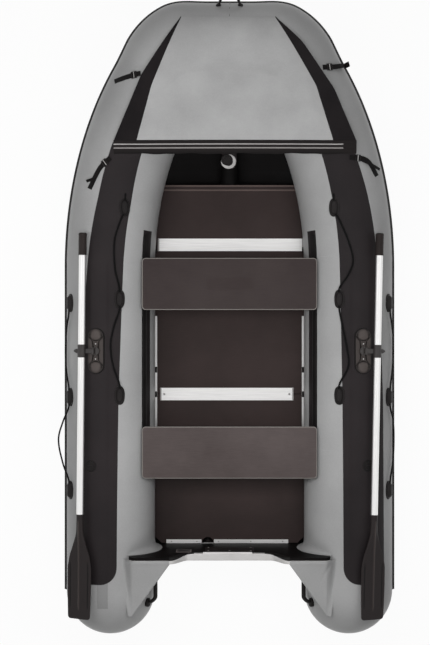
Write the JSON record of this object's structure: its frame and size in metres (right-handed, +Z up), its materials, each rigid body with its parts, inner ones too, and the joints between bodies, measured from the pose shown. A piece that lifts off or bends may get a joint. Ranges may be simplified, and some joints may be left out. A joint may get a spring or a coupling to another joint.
{
  "type": "inflatable dinghy",
  "caption": "Grey inflatable dinghy with a raised bow under a fabric dodger, a plywood floor, sliding benches, a wooden transom and oars stowed in turning rowlocks.",
  "frame": {"origin": "on the ground, under the middle of the boat's length and width", "axes": "+Y to the bow, +X to starboard, +Z up"},
  "size_m": [1.604, 2.987, 0.6774],
  "materials": {
    "hull_fabric": "satin",
    "cover_fabric": "matte",
    "black_fabric": "matte",
    "webbing": "matte",
    "black_rubber": "matte",
    "black_plastic": "matte",
    "rope": "matte",
    "film_faced_plywood": "satin",
    "painted_wood": "satin",
    "aluminium": "satin"
  },
  "bodies": {
    "hull": {"port_tube": "hull_fabric", "starboard_tube": "hull_fabric", "keel_inflation_sleeve": "hull_fabric", "port_transom_knee": "hull_fabric", "starboard_transom_knee": "hull_fabric", "port_transom_flange": "hull_fabric", "starboard_transom_flange": "hull_fabric", "dodger": "cover_fabric", "bow_baffle": "black_fabric", "bottom_skin": "black_fabric", "keel_tube": "black_fabric", "dodger_strap_port_upper": "webbing", "dodger_strap_starboard_upper": "webbing", "dodger_strap_port_lower": "webbing", "dodger_strap_starboard_lower": "webbing", "rubbing_strake": "black_rubber", "port_seat_rail": "black_rubber", "starboard_seat_rail": "black_rubber", "bow_handle": "black_rubber", "port_stern_handle": "black_rubber", "starboard_stern_handle": "black_rubber", "transom_edging": "black_plastic", "inner_motor_pad": "black_plastic", "outer_motor_pad": "black_plastic", "drain_valve_body": "black_plastic", "port_rowlock_base": "black_plastic", "starboard_rowlock_base": "black_plastic", "port_inner_grab_line": "rope", "starboard_inner_grab_line": "rope", "port_outer_grab_line": "rope", "starboard_outer_grab_line": "rope", "bow_floorboard": "film_faced_plywood", "mid_floorboard": "film_faced_plywood", "aft_floorboard": "film_faced_plywood", "transom_board": "painted_wood", "fore_floor_joiner": "aluminium", "aft_floor_joiner": "aluminium", "port_floor_stringer": "aluminium", "starboard_floor_stringer": "aluminium", "aft_floor_sill": "aluminium"},
    "front_bench": {"front_bench_board": "film_faced_plywood", "front_bench_runner_port": "black_plastic", "front_bench_runner_starboard": "black_plastic"},
    "rear_bench": {"rear_bench_board": "film_faced_plywood", "rear_bench_runner_port": "black_plastic", "rear_bench_runner_starboard": "black_plastic"},
    "port_rowlock": {"port_rowlock_head": "aluminium"},
    "starboard_rowlock": {"starboard_rowlock_head": "aluminium"},
    "port_oar": {"port_oar_collar": "black_plastic", "port_oar_shaft": "aluminium", "port_oar_grip": "black_plastic", "port_oar_blade": "black_plastic"},
    "starboard_oar": {"starboard_oar_collar": "black_plastic", "starboard_oar_shaft": "aluminium", "starboard_oar_grip": "black_plastic", "starboard_oar_blade": "black_plastic"},
    "drain_plug": {"drain_plug": "black_plastic"},
    "port_valve_cap": {"port_valve_cap": "black_plastic"},
    "starboard_valve_cap": {"starboard_valve_cap": "black_plastic"},
    "keel_valve_cap": {"keel_valve_cap": "black_plastic"}
  },
  "joints": [
    {"name": "front_bench_slide", "type": "slide", "parent": "hull", "child": "front_bench", "axis": [0, 1, 0], "range_m": [-0.27, 0.03]},
    {"name": "rear_bench_slide", "type": "slide", "parent": "hull", "child": "rear_bench", "axis": [0, 1, 0], "range_m": [0, 0.25]},
    {"name": "port_rowlock_swivel", "type": "hinge", "parent": "hull", "child": "port_rowlock", "pos_m": [-0.62135, -0.1427, 0.41284], "axis": [0.2588, 0, -0.9659], "range_deg": [0, 95]},
    {"name": "starboard_rowlock_swivel", "type": "hinge", "parent": "hull", "child": "starboard_rowlock", "pos_m": [0.62135, -0.1427, 0.41284], "axis": [0.2588, 0, 0.9659], "range_deg": [0, 95]},
    {"name": "port_oar_lift", "type": "hinge", "parent": "port_rowlock", "child": "port_oar", "pos_m": [-0.63581, -0.14262, 0.43589], "axis": [0.0101, 0.9999, 0.0027], "range_deg": [0, 60]},
    {"name": "starboard_oar_lift", "type": "hinge", "parent": "starboard_rowlock", "child": "starboard_oar", "pos_m": [0.63581, -0.14287, 0.43589], "axis": [-0.0202, -0.9998, 0.0054], "range_deg": [0, 60]},
    {"name": "drain_plug_pull", "type": "slide", "parent": "hull", "child": "drain_plug", "axis": [0, 0.9976, 0.0698], "range_m": [0, 0.03]},
    {"name": "port_valve_cap_turn", "type": "hinge", "parent": "hull", "child": "port_valve_cap", "pos_m": [-0.64806, -0.679, 0.40569], "axis": [-0.3827, 0, 0.9239], "range_deg": [0, 90]},
    {"name": "starboard_valve_cap_turn", "type": "hinge", "parent": "hull", "child": "starboard_valve_cap", "pos_m": [0.64806, -0.679, 0.40569], "axis": [0.3827, 0, 0.9239], "range_deg": [0, 90]},
    {"name": "keel_valve_cap_turn", "type": "hinge", "parent": "hull", "child": "keel_valve_cap", "pos_m": [-0.012, 0.7725, 0.16959], "axis": [0, -0.3545, 0.935], "range_deg": [0, 90]}
  ]
}
